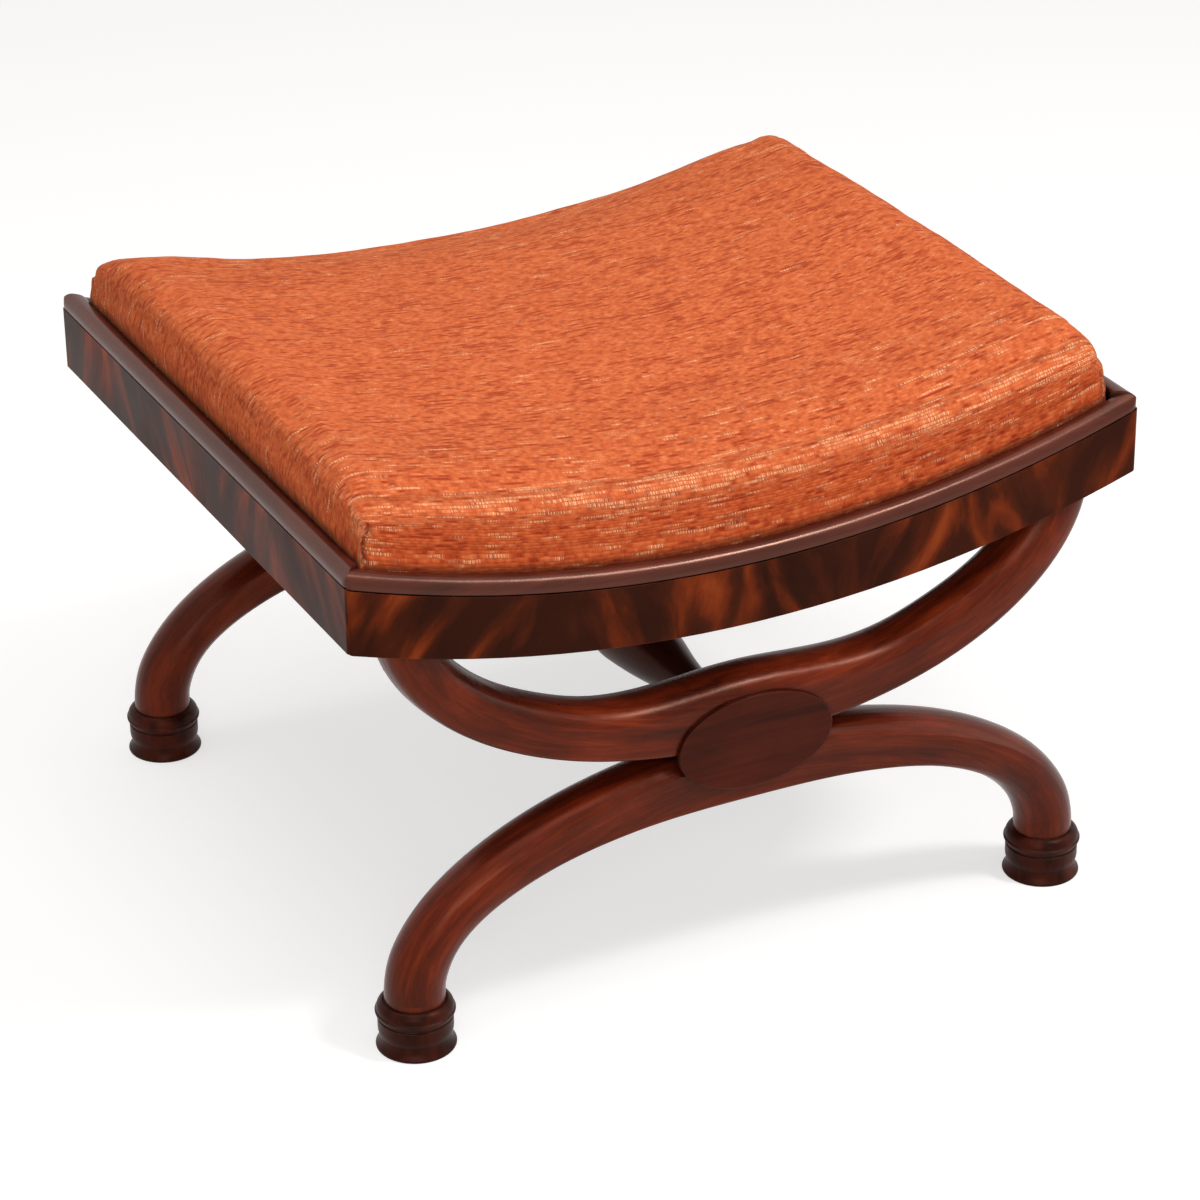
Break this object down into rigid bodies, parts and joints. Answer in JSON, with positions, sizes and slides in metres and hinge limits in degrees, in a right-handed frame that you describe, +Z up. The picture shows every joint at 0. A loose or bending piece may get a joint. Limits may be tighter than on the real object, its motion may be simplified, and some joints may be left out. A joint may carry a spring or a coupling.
{
  "type": "x frame stool",
  "caption": "Low dished stool on two curved X frames, with a veneered seat frame, turned feet and stretcher, and an upholstered seat that lifts out.",
  "frame": {"origin": "on the floor, midway between the four feet", "axes": "+X along the long front rail, -Y towards the front, +Z up"},
  "size_m": [0.598, 0.5288, 0.4247],
  "materials": {
    "core_wood": "planed secondary wood, dull",
    "rail_veneer": "polished figured mahogany veneer",
    "bead_wood": "polished dark mahogany",
    "frame_mahogany": "polished red-brown mahogany",
    "boss_wood": "polished dark mahogany",
    "stretcher_wood": "polished dark mahogany",
    "foot_wood": "polished dark turned mahogany",
    "block_wood": "sawn secondary wood, dull",
    "dowel_wood": "plain beech",
    "screw_steel": "aged steel",
    "tack_steel": "blued steel",
    "seat_frame_wood": "planed beech, dull",
    "webbing_jute": "woven jute",
    "hessian_jute": "open woven jute",
    "stuffing": "hair and cotton",
    "chenille": "chenille with short dark slubs and pale glints",
    "dust_cloth": "thin black cotton"
  },
  "bodies": {
    "stool_frame": {"arm_screws": "screw_steel", "corner_block_screws": "screw_steel", "crossing_dowels": "dowel_wood", "front_bead": "bead_wood", "front_left_corner_block": "block_wood", "front_left_foot": "foot_wood", "front_leg_arch": "frame_mahogany", "front_oval_boss": "boss_wood", "front_rail": "core_wood", "front_rail_veneer": "rail_veneer", "front_right_corner_block": "block_wood", "front_right_foot": "foot_wood", "front_upper_support": "frame_mahogany", "left_bead": "bead_wood", "left_rail": "core_wood", "left_rail_veneer": "rail_veneer", "rear_bead": "bead_wood", "rear_left_corner_block": "block_wood", "rear_left_foot": "foot_wood", "rear_leg_arch": "frame_mahogany", "rear_oval_boss": "boss_wood", "rear_rail": "core_wood", "rear_rail_veneer": "rail_veneer", "rear_right_corner_block": "block_wood", "rear_right_foot": "foot_wood", "rear_upper_support": "frame_mahogany", "right_bead": "bead_wood", "right_rail": "core_wood", "right_rail_veneer": "rail_veneer", "stretcher": "stretcher_wood"},
    "slip_seat": {"cover_tacks": "tack_steel", "crosswise_webbing": "webbing_jute", "dust_cover": "dust_cloth", "hessian": "hessian_jute", "lengthwise_webbing": "webbing_jute", "seat_cover": "chenille", "seat_frame_dowels": "dowel_wood", "seat_frame_front": "seat_frame_wood", "seat_frame_left": "seat_frame_wood", "seat_frame_rear": "seat_frame_wood", "seat_frame_right": "seat_frame_wood", "stuffing_pad": "stuffing", "webbing_tacks": "tack_steel"}
  },
  "joints": [
    {"name": "slip_seat_lift", "type": "slide", "parent": "stool_frame", "child": "slip_seat", "axis": [0, 0, 1], "range_m": [0, 0.15]}
  ]
}
